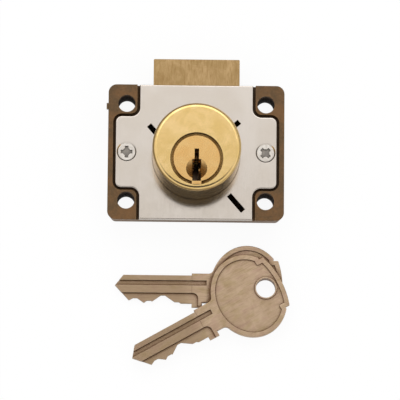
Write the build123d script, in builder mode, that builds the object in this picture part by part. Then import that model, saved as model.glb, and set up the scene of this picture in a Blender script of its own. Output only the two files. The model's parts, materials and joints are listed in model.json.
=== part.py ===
from build123d import *
import math
import os

# Cupboard lock with a pin-tumbler cylinder, a dead bolt and two keys.
# It lies on its back: +Z runs out of the front of the lock and +Y towards the
# bolt. The origin is the middle of the case's flat back. Lengths are in mm.
# The bolt is shot, and the pins stand at the shear line as the key lifts them.

os.makedirs("parts", exist_ok=True)

# Case casting
case_width = 50.8
case_height = 39.4
case_depth = 11.4
case_corner_radius = 2.4
case_draft_degrees = 5
case_back_round = 0.7
case_front_round = 0.25
case_back_wall = 1.5
case_end_wall = 2.0
case_ledge = 1.6
case_cavity_radius = 1.5
side_strip = 1.45
land_width = 8.35
land_height = 8.55
pocket_wall = 1.5
screw_boss_radius = 3.2
gate_nub_height = 1.7
gate_nub_reach = 0.5
gate_nub_thickness = 1.2
gate_nub_place = 13.3

# Wood-screw holes through the corners of the case
screw_hole_diameter = 5.0
screw_hole_mouth = 7.0
screw_hole_edge_x = 5.35
screw_hole_edge_y = 5.6
cone_degrees = 90

# Cover let into the front of the case
cover_thickness = 1.6
cover_groove = 0.75
cover_notch_radius = 2.5
cover_wing_radius = 1.7
cover_edge_round = 0.3
cover_end_gap = 0.1
slot_width = 1.55
slot_length = 6.2
slot_show = 5.7
slot_offset = 2.03
slot_first_degrees = 131.4
slot_count = 3

# Screws: two hold the cover, two hold the cylinder, two hold the cam
cover_screw_radius = 1.5
cover_screw_head_radius = 2.5
cover_screw_length = 6.5
cover_screw_sink = 0.35
cover_screw_edge = 3.2
cylinder_screw_radius = 1.25
cylinder_screw_head_radius = 2.25
cylinder_screw_length = 6.0
cylinder_screw_wall = 1.15
cam_screw_radius = 0.9
cam_screw_head_radius = 1.7
cam_screw_length = 5.0
cam_screw_spread = 4.2
thread_gap = 0.02
shank_gap = 0.1
screw_end_gap = 0.5
recess_width_share = 0.42
recess_span_share = 1.35
recess_core_share = 0.45
recess_depth_share = 0.6
left_screw_degrees = 0
right_screw_degrees = 45

# Cylinder body
cylinder_radius = 12.6
cylinder_projection = 16.6
cylinder_centre_y = -1.1
cylinder_face_round = 1.2
cylinder_base_chamfer = 0.3
cylinder_low_rim = 1.6
barrel_wall = 1.45
hump_wall = 1.6
hump_drop = 0.3
cylinder_seat_gap = 0.12
lug_gap = 0.1
lug_length = 1.7
lug_count = 2

# Plug, its face ring and its keyway
plug_radius = 6.3
plug_running_gap = 0.03
plug_tail = 0.3
plug_flange_step = 0.7
plug_flange_thickness = 1.2
plug_face_step = 0.25
plug_face_height = 1.1
plug_tab_width = 2.7
plug_tab_gap = 0.15
ring_groove_width = 0.95
keyway_gap = 0.12
keyway_floor_gap = 1.0
keyway_dimple_radius = 3.0
keyway_dimple_drop = 2.9
keyway_dimple_depth = 2.2

# Pins, springs and chamber caps
pin_count = 4
pin_pitch = 4.0
first_pin_depth = 4.3
pin_radius = 1.36
pin_tip_radius = 0.55
pin_tip_height = 0.6
pin_end_radius = 1.16
pin_end_height = 0.15
chamber_gap = 0.04
chamber_floor_drop = 0.6
cap_gap = 0.01
cap_sink = 0.3
shear_gap = 0.1
driver_length_share = 0.38
cap_length_share = 0.25
spring_wire_radius = 0.14
spring_turns = 5
spring_side_gap = 0.1
spring_end_gap = 0.03

# Cam behind the plug, with its drive pin
cam_rim = 0.635
cam_bolt_gap = 0.2
cam_thickness = 1.6
cam_pin_radius = 1.25
cam_pin_gap = 0.01
cam_pin_end_gap = 0.3
cam_swing_degrees = 90

# Bolt: a little narrower than the cylinder, with the case's cavity round it
bolt_inset = 0.15
bolt_projection = 8.2
bolt_travel = 7.8
bolt_cover_gap = 1.8
bolt_side_gap = 2.25
bolt_running_gap = 0.1
bolt_edge_round = 0.35
bolt_tail_thickness = 1.6
bolt_tail_side = 1.5
bolt_tail_end = 2.0
bolt_clear = 0.3
bolt_barrel_clear = 0.7
drive_slot_gap = 0.28
guide_radius = 1.4
guide_gap = 0.15
guide_place_x = -5.2
guide_rise = 4.1

# Keys, drawn with the ring hole at the origin and the blade along -X
key_thickness = 2.3
key_blade_inset = 0.05
key_blade_height = 8.1
key_back_offset = 3.7
key_back_drop = 5.4
key_tip_gap = 0.85
key_tip_drop = 2.95
key_tip_back_run = 2.4
key_tip_front_share = 0.7619
key_tip_height_share = 0.9
key_cut_shares = (0.95, 0.716, 0.907, 0.821)
key_cut_flat = 1.2
key_cut_slope_share = 0.7
key_groove_depth = 0.55
key_groove_start = 1.45
key_groove_width = 1.45
key_groove_end = 4.3
key_step_start = 5.1
key_step_depth = 0.6
key_step_end = 1.9
key_step_round = 1.6
key_edge_round = 0.2
key_stop_distance = 21.3
key_lug_height = 9.25
key_lug_length = 3.0
key_neck_rise = 0.6
key_neck_drop = 4.15
key_neck_round = 1.5
key_bow_half_length = 10.67
key_bow_half_height = 12.23
key_bow_offset = 5.37
key_bow_rise = 0.3
key_bow_end = 4.95
key_bow_end_radius = 24.0
key_bow_shoulder_x = 2.3
key_bow_shoulder = 0.6
key_hole_radius = 2.83
key_hole_rim = 0.35
key_rim_width = 1.3
key_field_depth = 0.4

# Where the keys lie: the back key flat, the front key across its bow
key_hole_x = 20.5
key_hole_y = -38.25
key_front_degrees = 29.4
key_stack_gap = 0.15

# One overrun for every cut that runs past a face
overrun = 2.0

# Values worked out from the sizes above
half_width = case_width / 2
half_height = case_height / 2
cover_seat_z = case_depth - cover_thickness
face_z = case_depth + cylinder_projection
column_width = case_width - 2 * (land_width + cover_groove)
wing_height = case_height - 2 * (land_height + cover_groove)
wing_span = case_width - 2 * (side_strip + cover_groove)
bolt_width = 2 * (cylinder_radius - bolt_inset)
cavity_width = bolt_width + 2 * bolt_side_gap
cavity_height = case_height - 2 * case_end_wall
screw_hole_x = half_width - screw_hole_edge_x
screw_hole_y = half_height - screw_hole_edge_y
cover_screw_x = wing_span / 2 - cover_screw_edge
cover_screw_bottom_z = case_depth - cover_screw_sink - cover_screw_length - screw_end_gap
cylinder_screw_x = cylinder_radius - cylinder_screw_wall - cylinder_screw_radius

bore_radius = plug_radius + plug_running_gap
flange_radius = plug_radius + plug_flange_step
plug_face_radius = plug_radius + plug_face_step
ring_radius = plug_face_radius + ring_groove_width
barrel_radius = bore_radius + barrel_wall
plug_y = cylinder_centre_y - (cylinder_radius - ring_radius - cylinder_low_rim)
slot_reach = cylinder_radius + slot_show
flange_front_z = face_z - plug_face_height
flange_rear_z = flange_front_z - plug_flange_thickness

chamber_radius = pin_radius + chamber_gap
hump_width = 2 * (chamber_radius + hump_wall)
cylinder_top_y = cylinder_centre_y + cylinder_radius
pin_heights = [face_z - first_pin_depth - pin_pitch * i for i in range(pin_count)]
pin_corner_y = math.sqrt(plug_radius ** 2 - pin_radius ** 2)
key_pin_top_y = plug_y + pin_corner_y - plug_running_gap
key_back_y = plug_y - key_back_drop
key_blade_thickness = key_thickness - 2 * key_blade_inset
key_pin_tips_y = [key_back_y + key_blade_height * share for share in key_cut_shares]
chamber_floor_y = min(key_pin_tips_y) - chamber_floor_drop
driver_base_y = plug_y + plug_radius + shear_gap
chamber_length = cylinder_top_y - driver_base_y
driver_top_y = driver_base_y + chamber_length * driver_length_share
cap_base_y = cylinder_top_y - chamber_length * cap_length_share

half_swing = math.radians(cam_swing_degrees / 2)
cam_pin_reach = bolt_travel / (2 * math.sin(half_swing))
cam_pin_x = cam_pin_reach * math.cos(half_swing)
cam_pin_y = plug_y + bolt_travel / 2
cam_radius = cam_pin_reach + cam_pin_radius + cam_rim

bolt_base_z = case_back_wall + bolt_running_gap
bolt_thickness = cover_seat_z - bolt_cover_gap - bolt_base_z
bolt_tail_top_z = bolt_base_z + bolt_tail_thickness
cam_rear_z = bolt_tail_top_z + cam_bolt_gap
plug_rear_z = cam_rear_z + cam_thickness
barrel_rear_z = plug_rear_z + plug_tail
bolt_end_y = half_height + bolt_projection
bolt_inner_y = plug_y + barrel_radius + bolt_barrel_clear + bolt_travel
bolt_notch_y = cylinder_top_y + bolt_clear + bolt_travel
drive_slot_half = cam_pin_radius + drive_slot_gap
bolt_tail_half_width = cam_pin_reach + drive_slot_half + bolt_tail_side
bolt_tail_y = cam_pin_y - drive_slot_half - bolt_tail_end
guide_y = plug_y + guide_rise

key_blade_length = face_z - plug_rear_z - key_tip_gap
key_tip_x = -key_stop_distance - key_blade_length
key_tip_reach = key_blade_length - first_pin_depth - pin_pitch * (pin_count - 1) - key_cut_flat / 2


def save(piece, name):
    """Label a finished piece and write its STEP file."""
    piece.part.label = name
    export_step(piece.part, "parts/" + name + ".step")


def level(z):
    """Horizontal plane at a height above the back of the case."""
    return Plane.XY.offset(z)


def underside(x, y, z):
    """Plane that faces the back of the lock, centred on a point."""
    return Plane(origin=(x, y, z), x_dir=(1, 0, 0), z_dir=(0, 0, -1))


def radial(y, z):
    """Plane across a pin chamber, which runs along +Y above the plug."""
    return Plane(origin=(0, y, z), x_dir=(1, 0, 0), z_dir=(0, 1, 0))


def cover_outline(grow, half_length):
    """Cross-shaped outline of the cover, or grown by the groove for its recess."""
    column_x = column_width / 2 + grow
    wing_x = wing_span / 2 + grow
    wing_y = wing_height / 2 + grow
    middle_x = (column_x + wing_x) / 2
    middle_y = (wing_y + half_length) / 2
    with BuildSketch(mode=Mode.PRIVATE) as outline:
        Rectangle(2 * column_x, 2 * half_length)
        Rectangle(2 * wing_x, 2 * wing_y)
        tips = outline.vertices().filter_by(lambda v: abs(v.X) > middle_x)
        fillet(tips, cover_wing_radius + grow)
        notches = outline.vertices().filter_by(lambda v: abs(v.X) < middle_x and abs(v.Y) < middle_y)
        fillet(notches, cover_notch_radius - grow)
    return outline.sketch


def barrel_outline(grow, hump_radius):
    """Round barrel with the hump that carries the pin chambers, trimmed to a radius."""
    with BuildSketch(mode=Mode.PRIVATE) as outline:
        with Locations((0, plug_y)):
            Rectangle(hump_width + 2 * grow, 2 * cylinder_radius, align=(Align.CENTER, Align.MIN))
        with Locations((0, cylinder_centre_y)):
            Circle(hump_radius, mode=Mode.INTERSECT)
        with Locations((0, plug_y)):
            Circle(barrel_radius + grow)
    return outline.sketch


def slot_place(quarter_turns, reach):
    """Place on one of the cover's slots, at a reach from the plug's axis."""
    degrees = slot_first_degrees - 90 * quarter_turns
    angle = math.radians(degrees)
    x = reach * math.cos(angle) - slot_offset * math.sin(angle)
    y = plug_y + reach * math.sin(angle) + slot_offset * math.cos(angle)
    return Location((x, y, 0), (0, 0, degrees))


def countersunk_screw(name, head, radius, head_radius, length, turn_degrees):
    """Countersunk screw with a cross recess. The plane lies on its head, facing out."""
    cone_height = (head_radius - radius) / math.tan(math.radians(cone_degrees / 2))
    recess_width = head_radius * recess_width_share
    recess_span = head_radius * recess_span_share
    with BuildPart() as screw:
        with BuildSketch(head):
            Circle(head_radius)
        with BuildSketch(head.offset(-cone_height)):
            Circle(radius)
        loft()
        with BuildSketch(head.offset(-cone_height)):
            Circle(radius)
        extrude(amount=cone_height - length)
        with BuildSketch(head):
            Rectangle(recess_span, recess_width, rotation=turn_degrees)
            Rectangle(recess_width, recess_span, rotation=turn_degrees)
            Circle(head_radius * recess_core_share)
        extrude(amount=-cone_height * recess_depth_share, mode=Mode.SUBTRACT)
    save(screw, name)


# Case body: one casting, open at the front for the cover and at the top for the bolt
with BuildPart() as case_body:
    with BuildSketch(level(case_depth)):
        RectangleRounded(case_width, case_height, case_corner_radius)
    extrude(amount=-case_depth, taper=case_draft_degrees)
    fillet(case_body.edges().group_by(Axis.Z)[0], case_back_round)
    fillet(case_body.edges().group_by(Axis.Z)[-1], case_front_round)
    with BuildSketch(level(case_depth - gate_nub_thickness - case_front_round)):
        with Locations((-half_width, gate_nub_place)):
            Rectangle(2 * gate_nub_reach, gate_nub_height)
    extrude(amount=gate_nub_thickness)
    with BuildSketch(level(cover_seat_z)):
        add(cover_outline(cover_groove, half_height + overrun))
    extrude(amount=cover_thickness + overrun, mode=Mode.SUBTRACT)
    with BuildSketch(level(case_back_wall)):
        RectangleRounded(cavity_width, cavity_height, case_cavity_radius)
    extrude(amount=cover_seat_z - case_back_wall, mode=Mode.SUBTRACT)

    pocket_inner = cavity_width / 2 + pocket_wall
    pocket_outer = wing_span / 2 + cover_groove - case_ledge
    pocket_end = wing_height / 2 + cover_groove - case_ledge
    pocket_x = (pocket_inner + pocket_outer) / 2
    pocket_y = (screw_boss_radius + pocket_end) / 2
    with BuildSketch(level(case_back_wall)):
        with GridLocations(2 * pocket_x, 2 * pocket_y, 2, 2):
            Rectangle(pocket_outer - pocket_inner, pocket_end - screw_boss_radius)
    extrude(amount=cover_seat_z - case_back_wall, mode=Mode.SUBTRACT)

    with BuildSketch(level(bolt_base_z - bolt_running_gap)):
        with Locations((0, half_height - 2 * case_end_wall)):
            Rectangle(bolt_width + 2 * bolt_running_gap, case_end_wall * 2 + overrun,
                      align=(Align.CENTER, Align.MIN))
    extrude(amount=bolt_thickness + 2 * bolt_running_gap, mode=Mode.SUBTRACT)
    with BuildSketch(level(case_back_wall)):
        with Locations((guide_place_x, guide_y)):
            Circle(guide_radius)
    extrude(amount=bolt_tail_top_z - case_back_wall)
    with BuildSketch(level(cover_seat_z)):
        with GridLocations(2 * cover_screw_x, 0, 2, 1):
            Circle(cover_screw_radius + thread_gap)
    extrude(amount=cover_screw_bottom_z - cover_seat_z, mode=Mode.SUBTRACT)
    with Locations(underside(0, 0, 0)):
        with GridLocations(2 * screw_hole_x, 2 * screw_hole_y, 2, 2):
            CounterSinkHole(
                radius=screw_hole_diameter / 2,
                counter_sink_radius=screw_hole_mouth / 2,
                counter_sink_angle=cone_degrees,
            )
save(case_body, "case_body")

# Cover plate
with BuildPart() as cover_plate:
    with BuildSketch(level(cover_seat_z)):
        add(cover_outline(0, half_height - cover_end_gap))
    extrude(amount=cover_thickness)
    fillet(cover_plate.edges().group_by(Axis.Z)[-1], cover_edge_round)
    with BuildSketch(level(cover_seat_z)):
        add(barrel_outline(cylinder_seat_gap, cylinder_radius + cylinder_seat_gap))
        with Locations(*[slot_place(turns, slot_reach - slot_length / 2) for turns in range(slot_count)]):
            Rectangle(slot_length, slot_width)
    extrude(amount=cover_thickness, mode=Mode.SUBTRACT)
    with Locations(level(case_depth)):
        with GridLocations(2 * cover_screw_x, 0, 2, 1):
            CounterSinkHole(
                radius=cover_screw_radius + shank_gap,
                counter_sink_radius=cover_screw_head_radius + cover_screw_sink,
                counter_sink_angle=cone_degrees,
            )
    with Locations(underside(0, cylinder_centre_y, cover_seat_z)):
        with GridLocations(2 * cylinder_screw_x, 0, 2, 1):
            CounterSinkHole(
                radius=cylinder_screw_radius + shank_gap,
                counter_sink_radius=cylinder_screw_head_radius,
                counter_sink_angle=cone_degrees,
            )
save(cover_plate, "cover_plate")

# Cylinder body
with BuildPart() as cylinder_body:
    with BuildSketch(level(case_depth)):
        with Locations((0, cylinder_centre_y)):
            Circle(cylinder_radius)
    extrude(amount=cylinder_projection)
    fillet(cylinder_body.edges().group_by(Axis.Z)[-1], cylinder_face_round)
    chamfer(cylinder_body.edges().group_by(Axis.Z)[0], cylinder_base_chamfer)
    with BuildSketch(level(barrel_rear_z)):
        add(barrel_outline(0, cylinder_radius - hump_drop))
        with Locations((0, cylinder_centre_y)):
            with GridLocations(2 * cylinder_screw_x, 0, 2, 1):
                Circle(cylinder_screw_head_radius + cylinder_seat_gap, mode=Mode.SUBTRACT)
    extrude(amount=case_depth - barrel_rear_z)
    with BuildSketch(level(cover_seat_z + lug_gap)):
        with Locations(*[slot_place(turns, slot_reach - slot_length + lug_gap + lug_length / 2)
                         for turns in range(lug_count)]):
            Rectangle(lug_length, slot_width - 2 * lug_gap)
    extrude(amount=cover_thickness - lug_gap)
    with BuildSketch(level(barrel_rear_z - overrun)):
        with Locations((0, plug_y)):
            Circle(bore_radius)
    extrude(amount=face_z, mode=Mode.SUBTRACT)
    with BuildSketch(level(flange_rear_z)):
        with Locations((0, plug_y)):
            Circle(flange_radius + plug_running_gap)
    extrude(amount=face_z, mode=Mode.SUBTRACT)
    with BuildSketch(level(flange_front_z)):
        with Locations((0, plug_y)):
            Circle(ring_radius)
    extrude(amount=face_z, mode=Mode.SUBTRACT)
    for pin_z in pin_heights:
        with BuildSketch(radial(plug_y, pin_z)):
            Circle(chamber_radius)
        extrude(amount=2 * cylinder_radius, mode=Mode.SUBTRACT)
    with BuildSketch(level(case_depth)):
        with Locations((0, cylinder_centre_y)):
            with GridLocations(2 * cylinder_screw_x, 0, 2, 1):
                Circle(cylinder_screw_radius + thread_gap)
    extrude(amount=cylinder_screw_length - cover_thickness + screw_end_gap, mode=Mode.SUBTRACT)
save(cylinder_body, "cylinder_body")

# Plug: barrel, flange and face, with the keyway, the pin holes and the mouth's dimple
key_back_x = key_blade_thickness / 2 + keyway_gap
keyway_thin_x = key_back_x - key_step_depth
keyway_ward_x = key_back_x - key_groove_depth
keyway_step_y = key_back_y + key_step_start + keyway_gap
keyway_ward_low_y = key_back_y + key_groove_start + keyway_gap
keyway_ward_high_y = key_back_y + key_groove_start + key_groove_width - keyway_gap
keyway_top_y = key_back_y + key_blade_height + keyway_gap
keyway_bottom_y = key_back_y - keyway_floor_gap

with BuildPart() as plug:
    with BuildSketch(level(plug_rear_z)):
        with Locations((0, plug_y)):
            Circle(plug_radius)
    extrude(amount=face_z - plug_rear_z)
    with BuildSketch(level(flange_front_z)):
        with Locations((0, plug_y)):
            Circle(plug_face_radius)
    extrude(amount=plug_face_height)
    with BuildSketch(level(flange_rear_z)):
        with Locations((0, plug_y)):
            Circle(flange_radius)
    extrude(amount=plug_flange_thickness)
    with BuildSketch(level(flange_front_z)):
        with Locations((0, plug_y - ring_radius + plug_tab_gap)):
            Rectangle(plug_tab_width, ring_radius, align=(Align.CENTER, Align.MIN))
    extrude(amount=plug_face_height)
    with BuildSketch(level(plug_rear_z)):
        with BuildLine():
            Polyline(
                (-key_back_x, keyway_bottom_y),
                (key_back_x, keyway_bottom_y),
                (key_back_x, keyway_ward_low_y),
                (keyway_ward_x, keyway_ward_low_y),
                (keyway_ward_x, keyway_ward_high_y),
                (key_back_x, keyway_ward_high_y),
                (key_back_x, keyway_step_y),
                (keyway_thin_x, keyway_step_y),
                (keyway_thin_x, keyway_top_y),
                (-keyway_thin_x, keyway_top_y),
                (-keyway_thin_x, keyway_step_y),
                (-key_back_x, keyway_step_y),
                close=True,
            )
        make_face()
    extrude(amount=face_z, mode=Mode.SUBTRACT)
    for pin_z in pin_heights:
        with BuildSketch(radial(chamber_floor_y, pin_z)):
            Circle(chamber_radius)
        extrude(amount=2 * plug_radius, mode=Mode.SUBTRACT)
    with BuildSketch(level(face_z)):
        with Locations((0, plug_y - keyway_dimple_drop)):
            Circle(keyway_dimple_radius)
    with BuildSketch(level(face_z - keyway_dimple_depth)):
        with Locations((0, plug_y - keyway_dimple_drop)):
            Circle(keyway_dimple_radius - keyway_dimple_depth)
    loft(mode=Mode.SUBTRACT)
    with BuildSketch(level(plug_rear_z)):
        with Locations((0, plug_y)):
            with GridLocations(2 * cam_screw_spread, 0, 2, 1):
                Circle(cam_screw_radius + thread_gap)
    extrude(amount=cam_screw_length - cam_thickness + screw_end_gap, mode=Mode.SUBTRACT)
save(plug, "plug")

# Cam: a disc on the back of the plug
with BuildPart() as cam:
    with BuildSketch(level(cam_rear_z)):
        with Locations((0, plug_y)):
            Circle(cam_radius)
        with Locations((cam_pin_x, cam_pin_y)):
            Circle(cam_pin_radius + cam_pin_gap, mode=Mode.SUBTRACT)
    extrude(amount=cam_thickness)
    with Locations(underside(0, plug_y, cam_rear_z)):
        with GridLocations(2 * cam_screw_spread, 0, 2, 1):
            CounterSinkHole(
                radius=cam_screw_radius + shank_gap,
                counter_sink_radius=cam_screw_head_radius,
                counter_sink_angle=cone_degrees,
            )
save(cam, "cam")

# Drive pin: pressed into the cam, running in the bolt's cross slot
with BuildPart() as drive_pin:
    with BuildSketch(level(bolt_base_z + cam_pin_end_gap)):
        with Locations((cam_pin_x, cam_pin_y)):
            Circle(cam_pin_radius)
    extrude(amount=plug_rear_z - bolt_base_z - cam_pin_end_gap)
save(drive_pin, "drive_pin")

# Screws
for side, name, degrees in ((-1, "cover_screw_left", left_screw_degrees),
                            (1, "cover_screw_right", right_screw_degrees)):
    countersunk_screw(name, Plane(origin=(side * cover_screw_x, 0, case_depth - cover_screw_sink)),
                      cover_screw_radius, cover_screw_head_radius, cover_screw_length, degrees)
for side, name in ((-1, "cylinder_screw_left"), (1, "cylinder_screw_right")):
    countersunk_screw(name, underside(side * cylinder_screw_x, cylinder_centre_y, cover_seat_z),
                      cylinder_screw_radius, cylinder_screw_head_radius, cylinder_screw_length, 0)
for side, name in ((-1, "cam_screw_left"), (1, "cam_screw_right")):
    countersunk_screw(name, underside(side * cam_screw_spread, plug_y, cam_rear_z),
                      cam_screw_radius, cam_screw_head_radius, cam_screw_length, 0)


def key_pin(name, tip_y, pin_z):
    """Bottom pin: it stands in the plug, its coned tip on the key's cut."""
    with BuildPart() as pin:
        with BuildSketch(radial(tip_y, pin_z)):
            Circle(pin_tip_radius)
        with BuildSketch(radial(tip_y + pin_tip_height, pin_z)):
            Circle(pin_radius)
        loft()
        with BuildSketch(radial(tip_y + pin_tip_height, pin_z)):
            Circle(pin_radius)
        extrude(amount=key_pin_top_y - tip_y - pin_tip_height)
    save(pin, name)


def driver_pin(name, pin_z):
    """Driver pin: it stands in the body above the shear line, with eased ends."""
    with BuildPart() as pin:
        with BuildSketch(radial(driver_base_y, pin_z)):
            Circle(pin_end_radius)
        with BuildSketch(radial(driver_base_y + pin_end_height, pin_z)):
            Circle(pin_radius)
        loft()
        with BuildSketch(radial(driver_base_y + pin_end_height, pin_z)):
            Circle(pin_radius)
        extrude(amount=driver_top_y - driver_base_y - pin_end_height)
    save(pin, name)


def pin_spring(name, pin_z):
    """Coil spring between a driver pin and its chamber cap."""
    coil_radius = chamber_radius - spring_side_gap - spring_wire_radius
    end = spring_end_gap + spring_wire_radius
    coil_height = cap_base_y - driver_top_y - 2 * end
    with BuildPart() as spring:
        with BuildLine() as coil:
            Helix(coil_height / spring_turns, coil_height, coil_radius,
                  center=(0, driver_top_y + end, pin_z), direction=(0, 1, 0))
        with BuildSketch(Plane(origin=coil.line @ 0, z_dir=coil.line % 0)):
            Circle(spring_wire_radius)
        sweep()
    save(spring, name)


def chamber_cap(name, pin_z):
    """Cap that closes a pin chamber, flush with the cylinder's side."""
    with BuildPart() as cap:
        with BuildSketch(radial(cap_base_y, pin_z)):
            Circle(chamber_radius - cap_gap)
        extrude(amount=cylinder_radius)
        with BuildSketch(level(pin_z - chamber_radius - overrun)):
            with Locations((0, cylinder_centre_y)):
                Circle(cylinder_radius - cap_sink)
        extrude(amount=2 * (chamber_radius + overrun), mode=Mode.INTERSECT)
    save(cap, name)


# Pin stacks, numbered from the face inwards
for index in range(pin_count):
    number = str(index + 1)
    key_pin("key_pin_" + number, key_pin_tips_y[index], pin_heights[index])
    driver_pin("driver_pin_" + number, pin_heights[index])
    pin_spring("pin_spring_" + number, pin_heights[index])
    chamber_cap("chamber_cap_" + number, pin_heights[index])

# Bolt: a block through the case's top wall, with a thin tail behind the cylinder
with BuildPart() as bolt:
    with BuildSketch(level(bolt_base_z)):
        with Locations((0, bolt_inner_y)):
            Rectangle(bolt_width, bolt_end_y - bolt_inner_y, align=(Align.CENTER, Align.MIN))
    extrude(amount=bolt_thickness)
    fillet(bolt.edges().group_by(Axis.Y)[-1], bolt_edge_round)
    with BuildSketch(level(barrel_rear_z - bolt_clear)):
        with Locations((0, bolt_inner_y - overrun)):
            Rectangle(hump_width + 2 * bolt_clear, bolt_notch_y - bolt_inner_y + overrun,
                      align=(Align.CENTER, Align.MIN))
    extrude(amount=bolt_thickness, mode=Mode.SUBTRACT)
    with BuildSketch(level(bolt_base_z)):
        with Locations((0, bolt_tail_y)):
            Rectangle(2 * bolt_tail_half_width, bolt_inner_y - bolt_tail_y, align=(Align.CENTER, Align.MIN))
    extrude(amount=bolt_tail_thickness)
    with BuildSketch(level(bolt_base_z)):
        with Locations(((cam_pin_x + cam_pin_reach) / 2, cam_pin_y)):
            SlotCenterToCenter(cam_pin_reach - cam_pin_x, 2 * drive_slot_half)
        with Locations((guide_place_x, guide_y + bolt_travel / 2)):
            SlotCenterToCenter(bolt_travel, 2 * (guide_radius + guide_gap), rotation=90)
    extrude(amount=bolt_tail_thickness, mode=Mode.SUBTRACT)
save(bolt, "bolt")


def blade_points():
    """Outline of the blade from its neck: straight back, point and cuts."""
    back = key_back_offset
    full = back - key_blade_height
    cuts = [(-key_stop_distance - first_pin_depth - pin_pitch * i, back - key_blade_height * share)
            for i, share in enumerate(key_cut_shares)]
    points = [(-key_stop_distance, back), (-key_stop_distance, full)]
    last_end, last_y = cuts[0][0] + key_cut_flat / 2 + (cuts[0][1] - full) / key_cut_slope_share, full
    for x, y in cuts:
        start = x + key_cut_flat / 2
        crest = max((last_y + y - (last_end - start) * key_cut_slope_share) / 2, full)
        points.append((last_end - (last_y - crest) / key_cut_slope_share, crest))
        points.append((start + (y - crest) / key_cut_slope_share, crest))
        points.append((start, y))
        points.append((x - key_cut_flat / 2, y))
        last_end, last_y = points[-1]
    tip_front_x = key_tip_x + key_tip_reach * key_tip_front_share
    points.append((tip_front_x, back - key_blade_height * key_tip_height_share))
    points.append((key_tip_x, back - key_tip_drop))
    points.append((key_tip_x + key_tip_back_run, back))
    lasts = points[-1:] + points
    return [point for point, last in zip(points, lasts) if math.dist(point, last) > key_edge_round / 2]


def bow_outline(shrink):
    """Oval bow with a flatter end and stepped corners, or shrunk to its rim."""
    corner_share = (key_bow_shoulder_x + key_bow_offset) / key_bow_half_length
    corner_y = key_bow_half_height * math.sqrt(1 - corner_share ** 2)
    end_half = corner_y - key_bow_shoulder - shrink
    with BuildSketch(mode=Mode.PRIVATE) as oval:
        with Locations((-key_bow_offset, key_bow_rise)):
            Ellipse(key_bow_half_length - shrink, key_bow_half_height - shrink)
        with Locations((key_bow_shoulder_x - shrink, key_bow_rise)):
            Rectangle(key_bow_half_length, 2 * key_bow_half_height,
                      align=(Align.MIN, Align.CENTER), mode=Mode.SUBTRACT)
    with BuildSketch(mode=Mode.PRIVATE) as outline:
        with Locations((key_bow_end - key_bow_end_radius, key_bow_rise)):
            Circle(key_bow_end_radius - shrink)
        with Locations((-key_bow_offset, key_bow_rise)):
            Rectangle(2 * key_bow_half_length, 2 * end_half,
                      align=(Align.MIN, Align.CENTER), mode=Mode.INTERSECT)
        add(oval.sketch)
    return outline.sketch


def lock_key(name, hole_x, hole_y, base_z, turn_degrees):
    """Cylinder key lying flat, its ring hole at a point and its blade turned."""
    turn = math.radians(turn_degrees)
    flat = Plane(origin=(hole_x, hole_y, base_z), x_dir=(math.cos(turn), math.sin(turn), 0), z_dir=(0, 0, 1))
    blade_base = (key_thickness - key_blade_thickness) / 2
    blade_top = blade_base + key_blade_thickness
    neck_x = -key_stop_distance
    neck_y = key_back_offset + key_neck_rise
    lug_x = neck_x + key_lug_length
    with BuildPart() as key:
        with BuildSketch(flat) as head:
            with Locations((neck_x, neck_y)):
                Rectangle(-key_bow_offset - neck_x, neck_y + key_neck_drop, align=(Align.MIN, Align.MAX))
            add(bow_outline(0))
            joins = head.vertices().filter_by(lambda v: lug_x < v.X < -key_bow_offset)
            fillet(joins, key_neck_round)
            with Locations((neck_x, neck_y)):
                Rectangle(key_lug_length, key_lug_height + key_neck_rise, align=(Align.MIN, Align.MAX))
        extrude(amount=key_thickness)
        fillet(key.edges().group_by(Axis.Z)[0] + key.edges().group_by(Axis.Z)[-1], key_edge_round)
        with BuildSketch(flat.offset(blade_base)):
            with BuildLine():
                Polyline(*blade_points(), close=True)
            make_face()
        extrude(amount=key_blade_thickness)

        for side_z, depth in ((blade_top, -key_step_depth), (blade_base, key_step_depth)):
            with BuildSketch(flat.offset(side_z)) as step:
                with Locations((neck_x + key_step_end, key_back_offset - key_step_start)):
                    Rectangle(key_blade_length + key_step_end + overrun, key_blade_height,
                              align=(Align.MAX, Align.MAX))
                fillet(step.vertices().group_by(Axis.X)[-1].sort_by(Axis.Y)[-1], key_step_round)
            extrude(amount=depth, mode=Mode.SUBTRACT)
            extrude(step.sketch, amount=-depth, mode=Mode.SUBTRACT)
        with BuildSketch(flat.offset(blade_top)) as groove:
            with Locations((neck_x + key_groove_end, key_back_offset - key_groove_start)):
                Rectangle(key_blade_length + key_groove_end + overrun, key_groove_width,
                          align=(Align.MAX, Align.MAX))
        extrude(amount=-key_groove_depth, mode=Mode.SUBTRACT)
        extrude(groove.sketch, amount=key_thickness - blade_top, mode=Mode.SUBTRACT)

        for side_z, depth in ((key_thickness, -key_field_depth), (0, key_field_depth)):
            with BuildSketch(flat.offset(side_z)):
                add(bow_outline(key_rim_width))
                Circle(key_hole_radius + key_hole_rim, mode=Mode.SUBTRACT)
            extrude(amount=depth, mode=Mode.SUBTRACT)
        with BuildSketch(flat):
            Circle(key_hole_radius)
        extrude(amount=key_thickness, mode=Mode.SUBTRACT)
    save(key, name)


# Keys
lock_key("key_back", key_hole_x, key_hole_y, 0, 0)
lock_key("key_front", key_hole_x, key_hole_y, key_thickness + key_stack_gap, key_front_degrees)
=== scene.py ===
import json
import math

import bpy
from mathutils import Matrix, Vector

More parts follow.
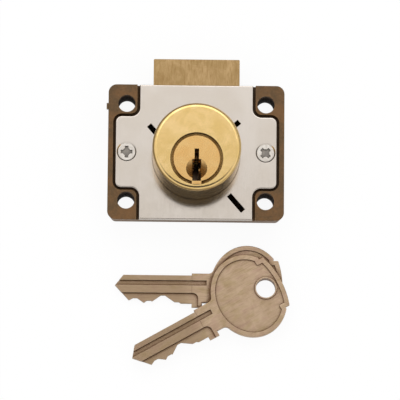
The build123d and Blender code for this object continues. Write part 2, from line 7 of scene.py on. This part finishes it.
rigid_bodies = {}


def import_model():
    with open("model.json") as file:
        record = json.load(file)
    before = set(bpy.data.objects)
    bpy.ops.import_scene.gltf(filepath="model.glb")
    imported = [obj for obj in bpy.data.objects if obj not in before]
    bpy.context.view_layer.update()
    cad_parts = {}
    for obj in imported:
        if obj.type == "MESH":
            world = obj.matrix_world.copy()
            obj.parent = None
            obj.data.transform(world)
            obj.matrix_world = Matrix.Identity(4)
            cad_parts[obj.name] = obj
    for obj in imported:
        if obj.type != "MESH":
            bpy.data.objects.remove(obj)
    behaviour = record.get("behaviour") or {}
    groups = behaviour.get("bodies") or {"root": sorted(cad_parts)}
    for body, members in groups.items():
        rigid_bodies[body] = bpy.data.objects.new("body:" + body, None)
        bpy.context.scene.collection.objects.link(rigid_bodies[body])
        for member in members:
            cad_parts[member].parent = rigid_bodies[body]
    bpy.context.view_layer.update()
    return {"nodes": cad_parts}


# The looks of the cupboard lock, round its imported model, in metres.
for old in list(bpy.data.objects):
    bpy.data.objects.remove(old)
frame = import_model()

MM = 0.001
IMAGE_PX = 400
SENSOR_MM = 36.0
WHITE = (1, 1, 1, 1)

# Camera, fitted to the photograph, in degrees, millimetres and pixels
CAMERA_TILT = 8.885
CAMERA_SIDE = 0.78
CAMERA_ROLL = -0.5
CAMERA_DISTANCE = 982.0
CAMERA_FOCAL_PX = 3421.0
CAMERA_AIM = (1.24, -13.9, 11.4)
CLIP_NEAR = 0.05
CLIP_FAR = 20.0

# Dome: its dark place round the camera's side, and how it dims towards the horizon, in degrees and shares
DARK_TILT = 16.5
DARK_EDGE = 24.0
DARK_CORE = 20.0
DARK_STRENGTH = 0.06
DOME_LEAN = 12.0
DOME_FULL_SINE = 0.45
HORIZON_STRENGTH = 0.16
DOME_COLOR = (1.0, 0.995, 0.985, 1)

# Lamp and floor, in metres and watts
LAMP_PLACE = (-0.05, 0.72, 0.92)
LAMP_SIZE = 1.0
LAMP_WATTS = 3.4
FLOOR_HALF = 3.0
FLOOR_DROP = 0.00005
FLOOR_COLOR = (0.88, 0.88, 0.88, 1)
FLOOR_GLOW = 1.015
FLOOR_GLOW_SHARES = (("Is Camera Ray", 0.92), ("Is Glossy Ray", 0.3), ("Is Transmission Ray", 0.3))

# Places that the textures are laid out from, in millimetres and degrees
CYLINDER_AXIS = (0.0, -1.1, 0.0)
CYLINDER_EDGE = (12.6, 28.0)
# Bounds of the band on the cylinder's outer edge where a dark reflection is painted: inward, downward and
# to the left
EDGE_BRIGHT_IN = 0.65
EDGE_DARK_REFLECTION_IN = 0.2
EDGE_BRIGHT_DOWN = 1.2
EDGE_DARK_REFLECTION_DOWN = 0.6
EDGE_BRIGHT_X = 10.0
EDGE_DARK_REFLECTION_X = -4.0
PLUG_AXIS = (0.0, -4.6, 0.0)
KEY_HOLE = (20.5, -38.25, 0.0)
KEY_FRONT_DEGREES = 29.4
KEY_BLADE_START = -19.0
KEY_BLADE_WORN = -25.0
# Height below which the cover screws get painted shade, and the depth over which that shade fades in
RECESS_TOP = 10.95
RECESS_SHADE = 0.2

# The middle part of a noise's range, and the sockets of a colour mix
MIDDLE = (0.3, 0.7)
MIX_FIRST = 6
MIX_SECOND = 7
MIX_RESULT = 2


def linear(red, green, blue):
    """Linear colour of an sRGB one given from 0 to 255."""
    parts = []
    for part in (red, green, blue):
        share = part / 255
        parts.append(share / 12.92 if share <= 0.04045 else ((share + 0.055) / 1.055) ** 2.4)
    return (*parts, 1.0)


class Tree:
    """Short calls for the nodes of a material or a world."""

    def __init__(self, owner):
        owner.use_nodes = True
        owner.node_tree.nodes.clear()
        self.nodes = owner.node_tree.nodes
        self.links = owner.node_tree.links

    def node(self, kind, **settings):
        """New node of a kind, with its settings."""
        made = self.nodes.new("ShaderNode" + kind)
        for key, value in settings.items():
            setattr(made, key, value)
        return made

    def put(self, socket, value):
        """Link a socket to an output, or set it to a plain value."""
        if isinstance(value, bpy.types.NodeSocket):
            self.links.new(value, socket)
        else:
            socket.default_value = value

    def calc(self, operation, first, second=0.0, clamp=False):
        """Result of one sum on numbers or outputs."""
        made = self.node("Math", operation=operation, use_clamp=clamp)
        self.put(made.inputs[0], first)
        self.put(made.inputs[1], second)
        return made.outputs[0]

    def plus(self, first, second):
        """First and second added up."""
        return self.calc("ADD", first, second)

    def times(self, first, second, clamp=False):
        """First and second multiplied."""
        return self.calc("MULTIPLY", first, second, clamp)

    def toward(self, way, direction):
        """Cosine of the angle between a direction and the way looked in."""
        made = self.node("VectorMath", operation="DOT_PRODUCT")
        self.put(made.inputs[0], way)
        self.put(made.inputs[1], direction)
        return made.outputs["Value"]

    def spread(self, value, low, high, to_low=0.0, to_high=1.0):
        """Value eased from one range to another, and held at its ends."""
        made = self.node("MapRange", interpolation_type="SMOOTHSTEP")
        self.put(made.inputs["Value"], value)
        made.inputs["From Min"].default_value = low
        made.inputs["From Max"].default_value = high
        made.inputs["To Min"].default_value = to_low
        made.inputs["To Max"].default_value = to_high
        return made.outputs["Result"]

    def blend_shaders(self, share, first, second):
        """Two shaders mixed by a share of the second."""
        made = self.node("MixShader")
        self.put(made.inputs[0], share)
        self.put(made.inputs[1], first)
        self.put(made.inputs[2], second)
        return made.outputs[0]


class Finish(Tree):
    """One procedural material, laid out in millimetres from an origin of its own."""

    def __init__(self, name, origin=(0, 0, 0), degrees=0):
        self.material = bpy.data.materials.new(name)
        super().__init__(self.material)
        output = self.node("OutputMaterial")
        self.shader = self.node("BsdfPrincipled")
        self.put(output.inputs["Surface"], self.shader.outputs["BSDF"])
        place = self.node("TexCoord")
        turn = self.node("Mapping", vector_type="TEXTURE")
        turn.inputs["Location"].default_value = [part * MM for part in origin]
        turn.inputs["Rotation"].default_value = (0, 0, math.radians(degrees))
        turn.inputs["Scale"].default_value = (MM, MM, MM)
        self.put(turn.inputs["Vector"], place.outputs["Object"])
        self.place = turn.outputs["Vector"]

    def along(self, axis):
        """Place along X, Y or Z in millimetres, for axis 0, 1 or 2."""
        parts = self.node("SeparateXYZ")
        self.put(parts.inputs[0], self.place)
        return parts.outputs[axis]

    def reach(self):
        """Distance from the material's upright axis in millimetres."""
        squares = [self.calc("POWER", self.calc("ABSOLUTE", self.along(axis)), 2.0) for axis in (0, 1)]
        return self.calc("SQRT", self.plus(*squares))

    def stretched(self, scale):
        """Place, scaled unevenly, for grain that runs one way."""
        made = self.node("Mapping")
        made.inputs["Scale"].default_value = scale
        self.put(made.inputs["Vector"], self.place)
        return made.outputs["Vector"]

    def noise(self, scale, detail=3.0, roughness=0.55, distortion=0.0, vector=None):
        """Uneven pattern of a scale per millimetre."""
        made = self.node("TexNoise")
        self.put(made.inputs["Vector"], self.place if vector is None else vector)
        made.inputs["Scale"].default_value = scale
        made.inputs["Detail"].default_value = detail
        made.inputs["Roughness"].default_value = roughness
        made.inputs["Distortion"].default_value = distortion
        return made.outputs["Fac"]

    def rings(self, scale, detail):
        """Uneven turned rings about the material's axis."""
        made = self.node("TexNoise", noise_dimensions="1D")
        self.put(made.inputs["W"], self.reach())
        made.inputs["Scale"].default_value = scale
        made.inputs["Detail"].default_value = detail
        return made.outputs["Fac"]

    def mix(self, share, first, second):
        """Two colours mixed by a share of the second."""
        made = self.node("Mix", data_type="RGBA")
        self.put(made.inputs["Factor"], share)
        self.put(made.inputs[MIX_FIRST], first)
        self.put(made.inputs[MIX_SECOND], second)
        return made.outputs[MIX_RESULT]

    def layer(self, color, value, low, high, over, most=1.0):
        """Colour with another laid over it, up to a share, as a value goes from low to high."""
        return self.mix(self.spread(value, low, high, 0.0, most), color, over)

    def hidden(self, distance, inside=False, local=False):
        """1 deep in a crevice, or inside on an outer edge, and 0 on open faces."""
        made = self.node("AmbientOcclusion", inside=inside, samples=6, only_local=inside or local)
        made.inputs["Distance"].default_value = distance * MM
        return self.calc("SUBTRACT", 1.0, made.outputs["AO"])

    def bump(self, height, depth, rounding):
        """Relief of a depth in millimetres, over edges eased by a small radius."""
        made = self.node("Bump")
        made.inputs["Distance"].default_value = depth * MM
        self.put(made.inputs["Height"], height)
        eased = self.node("Bevel", samples=4)
        eased.inputs["Radius"].default_value = rounding * MM
        self.put(made.inputs["Normal"], eased.outputs["Normal"])
        self.put(self.shader.inputs["Normal"], made.outputs["Normal"])

    def finish(self, color, roughness, metallic=1.0):
        """The material, with its colour, gloss and metal set."""
        self.put(self.shader.inputs["Base Color"], color)
        self.put(self.shader.inputs["Roughness"], roughness)
        self.shader.inputs["Metallic"].default_value = metallic
        return self.material


def case_finish():
    """Brown bronzed coat on a casting, worn thin along its edges, with painted shade darkening its
    recesses.
    """
    f = Finish("case_brown")
    cloud = f.noise(0.22, detail=4.0, roughness=0.6, distortion=0.4)
    grain = f.noise(2.4, roughness=0.6)
    rub = f.noise(0.9, roughness=0.6, distortion=0.8)
    color = f.layer(linear(94, 71, 42), cloud, 0.35, 0.65, linear(117, 83, 47))
    color = f.layer(color, grain, 0.45, 0.75, linear(132, 100, 64), most=0.45)
    color = f.layer(color, rub, 0.55, 0.8, linear(74, 58, 34), most=0.5)
    worn = f.times(f.spread(f.hidden(0.35, inside=True), 0.25, 0.7), f.spread(rub, 0.3, 0.6), clamp=True)
    color = f.mix(f.times(worn, 0.6), color, linear(176, 146, 104))
    # Painted shade: the recesses and the gaps between parts are darkened towards near-black brown, and
    # made rougher.
    near = f.spread(f.hidden(2.0), 0.3, 0.8)
    far = f.spread(f.hidden(6.0, local=True), 0.45, 0.8)
    recess_painted_shade = f.calc("MAXIMUM", near, far)
    color = f.mix(f.times(recess_painted_shade, 0.85), color, linear(46, 30, 14))
    dull = f.spread(f.noise(1.6), *MIDDLE, 0.36, 0.56)
    pitted = f.noise(3.6, detail=4.0, roughness=0.65)
    f.bump(f.plus(pitted, f.times(rub, 0.5)), depth=0.035, rounding=0.12)
    f.shader.inputs["Specular IOR Level"].default_value = 0.3
    return f.finish(color, f.calc("MAXIMUM", dull, f.times(recess_painted_shade, 0.9)), metallic=0.0)


def cover_finish():
    """Polished steel plate, slightly warm, with fine grain and a few rubs."""
    f = Finish("cover_silver")
    cloud = f.noise(0.09, roughness=0.5, distortion=0.3)
    grain = f.noise(1.0, detail=4.0, roughness=0.6, vector=f.stretched((7.0, 0.25, 1.0)))
    rub = f.noise(0.5, detail=4.0, roughness=0.65, distortion=1.2)
    color = f.layer(linear(218, 209, 200), cloud, *MIDDLE, linear(212, 202, 191))
    color = f.layer(color, grain, 0.35, 0.75, linear(199, 189, 180), most=0.16)
    # Painted shade: dark grey laid in the cover's crevices and next to the parts that stand on it.
    color = f.layer(color, f.hidden(0.5), 0.16, 0.5, linear(74, 66, 58), most=0.8)
    f.bump(f.plus(grain, f.times(rub, 0.4)), depth=0.0008, rounding=0.1)
    return f.finish(color, f.plus(f.spread(rub, *MIDDLE, 0.1, 0.14), f.spread(grain, *MIDDLE, 0.0, 0.03)))


def brass_finish(name, axis, near, far, tarnish, roughness, edge=None):
    """Polished turned brass, with faint rings round its axis and painted shade in its crevices.

    edge gives the radius and height of an outer edge where a dark reflection is painted, most on the left.
    """
    f = Finish(name, axis)
    rings = f.rings(3.4, detail=4.0)
    cloud = f.noise(0.25, detail=4.0, roughness=0.6, distortion=0.6)
    spots = f.noise(1.3, roughness=0.6, distortion=0.5)
    color = f.layer(linear(*near), cloud, *MIDDLE, linear(*far))
    color = f.layer(color, spots, 0.52, 0.78, linear(*tarnish), most=0.25)
    # Painted shade: dark brown laid in the crevices, such as round the plug and at the barrel's foot.
    color = f.layer(color, f.hidden(1.3), 0.2, 0.48, linear(90, 57, 16), most=0.95)
    if edge is not None:
        # Painted reflection: the outer edge darkened to olive, most at the top and on the left, in place
        # of dark surroundings mirrored in the rounded edge.
        radius, top = edge
        outer = f.spread(f.reach(), radius - EDGE_BRIGHT_IN, radius - EDGE_DARK_REFLECTION_IN, 0.0, 0.85)
        upper = f.spread(f.along(2), top - EDGE_BRIGHT_DOWN, top - EDGE_DARK_REFLECTION_DOWN)
        uneven = f.spread(f.along(0), EDGE_BRIGHT_X, EDGE_DARK_REFLECTION_X, 0.35, 1.0)
        color = f.mix(f.times(f.times(outer, upper), uneven), color, linear(106, 82, 38))
    f.bump(f.plus(rings, f.times(spots, 0.3)), depth=0.0006, rounding=0.08)
    gloss = f.spread(cloud, *MIDDLE, roughness, roughness + 0.06)
    return f.finish(color, f.plus(gloss, f.spread(rings, *MIDDLE, 0.0, 0.04)))


def bolt_finish():
    """Dull sawn brass: drag marks along the bolt, mottled and darker in places, with painted shade in its
    crevices.
    """
    f = Finish("bolt_sawn_brass")
    marks = f.noise(1.0, detail=4.0, roughness=0.7, distortion=0.3, vector=f.stretched((2.6, 0.35, 1.2)))
    cloud = f.noise(0.2, detail=4.0, roughness=0.6, distortion=0.8)
    specks = f.noise(1.5, detail=4.0, roughness=0.7, distortion=0.6)
    color = f.layer(linear(170, 141, 96), cloud, 0.35, 0.65, linear(187, 157, 113))
    color = f.layer(color, marks, 0.42, 0.7, linear(160, 126, 80), most=0.55)
    color = f.layer(color, specks, 0.58, 0.75, linear(136, 102, 62), most=0.5)
    color = f.layer(color, f.hidden(0.3, inside=True), 0.25, 0.7, linear(214, 188, 140), most=0.5)
    # Painted shade: dark brown laid in the bolt's crevices and where it meets other parts.
    color = f.layer(color, f.hidden(1.2), 0.35, 0.95, linear(52, 38, 20), most=0.85)
    f.bump(f.plus(marks, f.times(specks, 0.5)), depth=0.03, rounding=0.12)
    return f.finish(color, f.spread(marks, *MIDDLE, 0.4, 0.58))


def key_finish(name, degrees):
    """Worn nickel silver: long rub marks down the blade, painted shade in the grooves."""
    f = Finish(name, KEY_HOLE, degrees)
    marks = f.noise(1.0, detail=4.0, roughness=0.65, distortion=0.2, vector=f.stretched((0.22, 4.0, 1.0)))
    cloud = f.noise(0.28, detail=4.0, roughness=0.6, distortion=0.8)
    tint = f.noise(0.4, detail=2.0, roughness=0.5, distortion=0.4, vector=f.stretched((0.6, 1.4, 1.0)))
    grain = f.noise(4.2, detail=4.0, roughness=0.7)
    color = f.layer(linear(186, 159, 131), cloud, *MIDDLE, linear(202, 176, 148))
    color = f.layer(color, tint, 0.5, 0.72, linear(186, 152, 134), most=0.55)
    color = f.layer(color, tint, 0.5, 0.28, linear(170, 148, 104), most=0.45)
    color = f.layer(color, marks, 0.48, 0.72, linear(146, 121, 94), most=0.45)
    blade = f.spread(f.along(0), KEY_BLADE_START, KEY_BLADE_WORN)
    color = f.mix(f.times(blade, f.spread(cloud, 0.2, 0.8, 0.35, 0.7)), color, linear(152, 128, 100))
    color = f.layer(color, f.hidden(0.3, inside=True), 0.3, 0.75, linear(222, 202, 176), most=0.5)
    # Painted shade: dark brown laid in the grooves and where the keys touch each other and the floor.
    color = f.layer(color, f.hidden(1.6), 0.07, 0.36, linear(92, 62, 40), most=0.85)
    f.bump(f.plus(grain, f.times(marks, 0.8)), depth=0.014, rounding=0.12)
    return f.finish(color, f.plus(f.spread(grain, *MIDDLE, 0.3, 0.4), f.spread(marks, *MIDDLE, 0.0, 0.06)))


def steel_finish(name, light, dark, roughness, painted_shade_below=None):
    """Plated steel for screws and small parts, with faint tool marks, painted shade in crevices and
    painted shade below a height.
    """
    f = Finish(name)
    marks = f.noise(1.0, roughness=0.6, vector=f.stretched((6.0, 0.5, 2.0)))
    cloud = f.noise(0.6, roughness=0.6, distortion=0.5)
    color = f.layer(linear(*light), cloud, *MIDDLE, linear(*dark))
    color = f.layer(color, marks, 0.5, 0.75, linear(*[part * 0.86 for part in dark]), most=0.3)
    # Painted shade: dark grey laid in crevices, such as the screws' cross recesses.
    color = f.layer(color, f.hidden(1.0), 0.14, 0.42, linear(72, 66, 60), most=0.92)
    # Painted shade: the parts of a screw below the given height, such as a head's rim sunk in its
    # countersink, darkened to grey.
    if painted_shade_below is not None:
        sunk_shade_color = f.layer(linear(108, 102, 96), cloud, 0.4, 0.6, linear(134, 128, 120))
        color = f.layer(color, f.along(2), painted_shade_below, painted_shade_below - RECESS_SHADE, sunk_shade_color, most=0.85)
    f.bump(f.plus(marks, cloud), depth=0.002, rounding=0.07)
    return f.finish(color, f.spread(marks, *MIDDLE, roughness, roughness + 0.08))


finishes = {
    "case": case_finish(),
    "cover": cover_finish(),
    "cylinder": brass_finish("cylinder_turned_brass", CYLINDER_AXIS, near=(236, 203, 143),
                             far=(222, 188, 121), tarnish=(214, 180, 112), roughness=0.16,
                             edge=CYLINDER_EDGE),
    "plug": brass_finish("plug_turned_brass", PLUG_AXIS, near=(227, 187, 124), far=(220, 174, 108),
                         tarnish=(214, 166, 98), roughness=0.22),
    "pins": brass_finish("pin_turned_brass", (0, 0, 0), near=(222, 190, 132), far=(206, 172, 112),
                         tarnish=(186, 150, 94), roughness=0.26),
    "bolt": bolt_finish(),
    "key_back": key_finish("key_back_nickel", 0),
    "key_front": key_finish("key_front_nickel", KEY_FRONT_DEGREES),
    "screws": steel_finish("screw_bright_steel", (226, 219, 210), (208, 200, 190), roughness=0.16),
    "cover_screws": steel_finish("cover_screw_steel", (232, 226, 218), (214, 206, 197), roughness=0.16,
                                 painted_shade_below=RECESS_TOP),
    "plated": steel_finish("plated_steel", (190, 188, 182), (168, 166, 160), roughness=0.28),
}
NODE_FINISHES = (
    ("case_body", "case"),
    ("cover_plate", "cover"),
    ("cylinder_body", "cylinder"),
    ("chamber_cap", "cylinder"),
    ("plug", "plug"),
    ("key_pin", "pins"),
    ("driver_pin", "pins"),
    ("bolt", "bolt"),
    ("key_back", "key_back"),
    ("key_front", "key_front"),
    ("cover_screw", "cover_screws"),
    ("cylinder_screw", "screws"),
    ("cam_screw", "screws"),
    ("cam", "plated"),
    ("drive_pin", "plated"),
    ("pin_spring", "plated"),
)
for name, node in frame["nodes"].items():
    finish = next(key for start, key in NODE_FINISHES if name == start or name.startswith(start + "_"))
    for place in node.material_slots:
        place.material = finishes[finish]


def leaning(degrees):
    """Upward direction that leans by an angle towards the front edge of the photograph."""
    return Vector((0, -math.sin(math.radians(degrees)), math.cos(math.radians(degrees))))


def build_camera():
    """Camera at the photograph's viewing angle."""
    tilt = math.radians(CAMERA_TILT)
    side = math.radians(CAMERA_SIDE)
    roll = math.radians(CAMERA_ROLL)
    back = Vector((-math.sin(side) * math.cos(tilt), -math.sin(tilt), math.cos(tilt) * math.cos(side)))
    back.normalize()
    right = Vector((math.sin(roll), math.cos(roll), 0)).cross(back).normalized()
    up = back.cross(right)
    data = bpy.data.cameras.new("photo_camera")
    data.sensor_width = SENSOR_MM
    data.lens = CAMERA_FOCAL_PX / IMAGE_PX * data.sensor_width
    data.clip_start = CLIP_NEAR
    data.clip_end = CLIP_FAR
    camera = bpy.data.objects.new("photo_camera", data)
    bpy.context.scene.collection.objects.link(camera)
    place = Vector(CAMERA_AIM) * MM + back * CAMERA_DISTANCE * MM
    camera.matrix_world = Matrix((
        (right.x, up.x, back.x, place.x),
        (right.y, up.y, back.y, place.y),
        (right.z, up.z, back.z, place.z),
        (0, 0, 0, 1),
    ))
    bpy.context.scene.camera = camera


def build_world():
    """Pale studio dome, dimmer near the horizon, with the dark place where the camera stands."""
    world = bpy.data.worlds.new("studio")
    bpy.context.scene.world = world
    w = Tree(world)
    output = w.node("OutputWorld")
    way = w.node("TexCoord").outputs["Generated"]
    edge, core = (math.cos(math.radians(part)) for part in (DARK_EDGE, DARK_CORE))
    spot = w.spread(w.toward(way, leaning(DARK_TILT)), edge, core, 1.0, DARK_STRENGTH)
    low = w.spread(w.toward(way, leaning(DOME_LEAN)), 0.0, DOME_FULL_SINE, HORIZON_STRENGTH, 1.0)
    dome = w.node("Background")
    dome.inputs["Color"].default_value = DOME_COLOR
    w.put(dome.inputs["Strength"], w.times(spot, low))
    plain = w.node("Background")
    plain.inputs["Color"].default_value = WHITE
    seen = w.node("LightPath").outputs["Is Camera Ray"]
    w.put(output.inputs["Surface"], w.blend_shaders(seen, dome.outputs[0], plain.outputs[0]))


def build_lamp():
    """One large soft lamp above and behind the lock."""
    data = bpy.data.lights.new("key_lamp", "AREA")
    data.size = LAMP_SIZE
    data.energy = LAMP_WATTS
    lamp = bpy.data.objects.new("key_lamp", data)
    bpy.context.scene.collection.objects.link(lamp)
    lamp.location = LAMP_PLACE
    lamp.rotation_euler = (-Vector(LAMP_PLACE)).to_track_quat("-Z", "Y").to_euler()


def build_floor():
    """White floor that keeps a soft shadow, just under the lock's flat back."""
    mesh = bpy.data.meshes.new("floor")
    turns = ((-1, -1), (1, -1), (1, 1), (-1, 1))
    corners = [(x * FLOOR_HALF, y * FLOOR_HALF, -FLOOR_DROP) for x, y in turns]
    mesh.from_pydata(corners, [], [(0, 1, 2, 3)])
    floor = bpy.data.objects.new("floor", mesh)
    bpy.context.scene.collection.objects.link(floor)
    material = bpy.data.materials.new("floor_white")
    f = Tree(material)
    output = f.node("OutputMaterial")
    matt = f.node("BsdfDiffuse")
    matt.inputs["Color"].default_value = FLOOR_COLOR
    glow = f.node("Emission")
    glow.inputs["Strength"].default_value = FLOOR_GLOW
    path = f.node("LightPath")
    share = 0.0
    for ray, level in FLOOR_GLOW_SHARES:
        share = f.calc("MAXIMUM", share, f.times(path.outputs[ray], level))
    f.put(output.inputs["Surface"], f.blend_shaders(share, matt.outputs[0], glow.outputs[0]))
    mesh.materials.append(material)


build_camera()
build_world()
build_floor()
build_lamp()

bpy.context.scene.view_settings.view_transform = "Standard"
